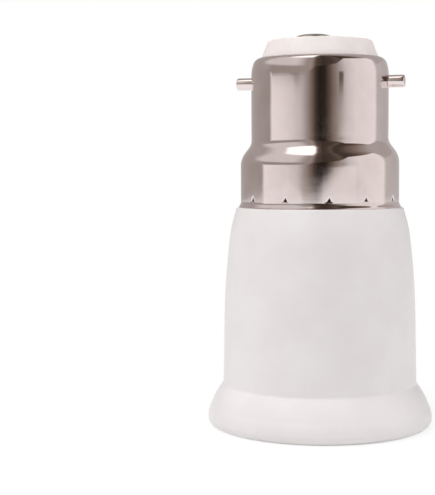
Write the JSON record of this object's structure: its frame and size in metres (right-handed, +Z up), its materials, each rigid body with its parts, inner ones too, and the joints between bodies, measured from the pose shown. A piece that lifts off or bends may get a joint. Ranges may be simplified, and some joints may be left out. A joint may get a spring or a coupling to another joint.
{
  "type": "lamp socket adapter",
  "caption": "Round lamp socket adapter: a pinned bayonet cap on top fits a bayonet lamp holder, and a flared white housing below holds a screw lamp socket.",
  "frame": {"origin": "centre of the flat rim round the screw socket's mouth, which the part stands on", "axes": "+Z up along the axis, from the mouth to the bayonet cap; the bayonet pins lie along X; the two cap contacts and the two shell screws lie along Y"},
  "size_m": [0.0362, 0.0362, 0.0625],
  "materials": {
    "white_plastic": "white moulded thermoset with a satin sheen",
    "nickel": "bright nickel plate over drawn brass",
    "insulator_plastic": "white moulded thermoset, matt",
    "tinned_brass": "tinned brass",
    "solder": "dull tin solder",
    "shell_brass": "bright rolled brass",
    "zinc_steel": "bright zinc plate",
    "contact_bronze": "bare spring bronze, reddish",
    "copper": "bare copper wire",
    "brown_insulation": "brown silicone sleeve",
    "blue_insulation": "blue silicone sleeve"
  },
  "bodies": {
    "adapter": {"housing": "white_plastic", "bayonet_sleeve": "nickel", "bayonet_pin_left": "nickel", "bayonet_pin_right": "nickel", "cap_insulator": "insulator_plastic", "contact_eyelet_front": "tinned_brass", "contact_eyelet_back": "tinned_brass", "solder_dome_front": "solder", "solder_dome_back": "solder", "screw_shell": "shell_brass", "shell_screws": "zinc_steel", "shell_terminal": "tinned_brass", "live_conductor": "copper", "live_insulation": "brown_insulation", "neutral_conductor": "copper", "neutral_insulation": "blue_insulation", "terminal_solder": "solder"},
    "contact": {"centre_contact": "contact_bronze", "contact_solder": "solder"}
  },
  "joints": [
    {"name": "contact_flex", "type": "hinge", "parent": "adapter", "child": "contact", "pos_m": [-0.0041, 0, 0.0204], "axis": [0, -1, 0], "range_deg": [0, 8], "stiffness_Nm_per_rad": 0.12, "deforming": ["live_conductor", "live_insulation"]}
  ]
}
